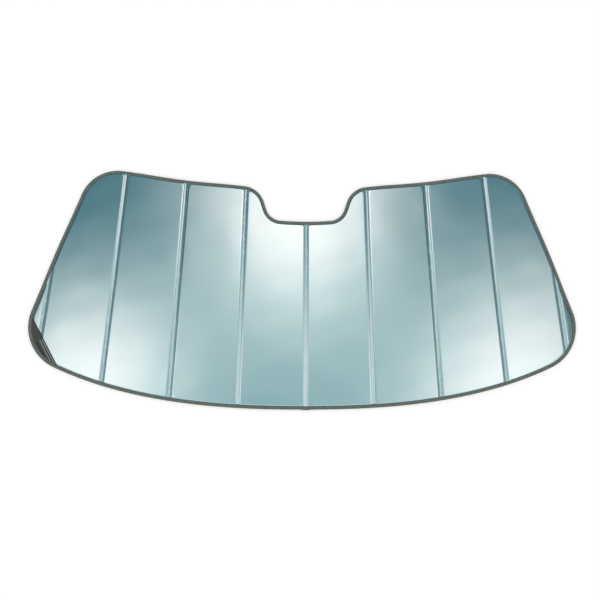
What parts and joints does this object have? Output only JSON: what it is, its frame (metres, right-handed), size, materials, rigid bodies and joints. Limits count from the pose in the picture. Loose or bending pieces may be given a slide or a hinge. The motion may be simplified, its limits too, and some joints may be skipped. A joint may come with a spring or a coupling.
{
  "type": "windscreen sunshade",
  "caption": "Folding accordion windscreen sunshade: foam-cored boards faced with reflective film, welded fold seams, cloth edge binding and a notch for the mirror.",
  "frame": {"origin": "middle of the sheet's own box, at the level of its back, with the sheet laid flat", "axes": "+X across the windscreen, +Y towards the edge with the mirror notch, +Z out of the reflective face"},
  "size_m": [1.4194, 0.6138, 0.0057],
  "materials": {
    "reflective_film": "satin metallised film over foam",
    "edge_binding": "woven tape",
    "label_cloth": "woven cloth"
  },
  "bodies": {
    "leaf_1": {"panel_1": "reflective_film", "binding_side_1": "edge_binding"},
    "leaf_2": {"panel_2": "reflective_film", "binding_top_2": "edge_binding", "binding_bottom_2": "edge_binding", "corner_label": "label_cloth"},
    "leaf_3": {"panel_3": "reflective_film", "binding_top_3": "edge_binding", "binding_bottom_3": "edge_binding"},
    "leaf_4": {"panel_4": "reflective_film", "binding_top_4": "edge_binding", "binding_bottom_4": "edge_binding"},
    "leaf_5": {"panel_5": "reflective_film", "binding_top_5": "edge_binding", "binding_bottom_5": "edge_binding"},
    "leaf_6": {"panel_6": "reflective_film", "binding_top_6": "edge_binding", "binding_bottom_6": "edge_binding"},
    "leaf_7": {"panel_7": "reflective_film", "binding_top_7": "edge_binding", "binding_bottom_7": "edge_binding"},
    "leaf_8": {"panel_8": "reflective_film", "binding_top_8": "edge_binding", "binding_bottom_8": "edge_binding"},
    "leaf_9": {"panel_9": "reflective_film", "binding_top_9": "edge_binding", "binding_bottom_9": "edge_binding"},
    "leaf_10": {"panel_10": "reflective_film", "binding_side_10": "edge_binding"}
  },
  "joints": [
    {"name": "fold_1", "type": "hinge", "parent": "leaf_2", "child": "leaf_1", "pos_m": [-0.66003, 0, -0.0005], "axis": [-0.1552, -0.9879, 0], "range_deg": [0, 179]},
    {"name": "fold_2", "type": "hinge", "parent": "leaf_3", "child": "leaf_2", "pos_m": [-0.4947, 0, 0.0055], "axis": [0.117, 0.9931, 0], "range_deg": [0, 179]},
    {"name": "fold_3", "type": "hinge", "parent": "leaf_4", "child": "leaf_3", "pos_m": [-0.329, 0, -0.0005], "axis": [-0.0781, -0.9969, 0], "range_deg": [0, 179]},
    {"name": "fold_4", "type": "hinge", "parent": "leaf_5", "child": "leaf_4", "pos_m": [-0.1633, 0, 0.0055], "axis": [0.0389, 0.9992, 0], "range_deg": [0, 179]},
    {"name": "fold_5", "type": "hinge", "parent": "leaf_6", "child": "leaf_5", "pos_m": [0.0024, 0, -0.0005], "axis": [0.0006, -1, 0], "range_deg": [0, 179]},
    {"name": "fold_6", "type": "hinge", "parent": "leaf_7", "child": "leaf_6", "pos_m": [0.1681, 0, 0.0055], "axis": [-0.04, 0.9992, 0], "range_deg": [0, 179]},
    {"name": "fold_7", "type": "hinge", "parent": "leaf_8", "child": "leaf_7", "pos_m": [0.3338, 0, -0.0005], "axis": [0.0792, -0.9969, 0], "range_deg": [0, 179]},
    {"name": "fold_8", "type": "hinge", "parent": "leaf_9", "child": "leaf_8", "pos_m": [0.4995, 0, 0.0055], "axis": [-0.1181, 0.993, 0], "range_deg": [0, 179]},
    {"name": "fold_9", "type": "hinge", "parent": "leaf_9", "child": "leaf_10", "pos_m": [0.66003, 0, -0.0005], "axis": [-0.1552, 0.9879, 0], "range_deg": [0, 179]}
  ],
  "couplings": [
    {"joint": "fold_1", "follows": "fold_8", "ratio": 1},
    {"joint": "fold_2", "follows": "fold_8", "ratio": 1},
    {"joint": "fold_3", "follows": "fold_8", "ratio": 1},
    {"joint": "fold_4", "follows": "fold_8", "ratio": 1},
    {"joint": "fold_5", "follows": "fold_8", "ratio": 1},
    {"joint": "fold_6", "follows": "fold_8", "ratio": 1},
    {"joint": "fold_7", "follows": "fold_8", "ratio": 1},
    {"joint": "fold_9", "follows": "fold_8", "ratio": 1}
  ]
}
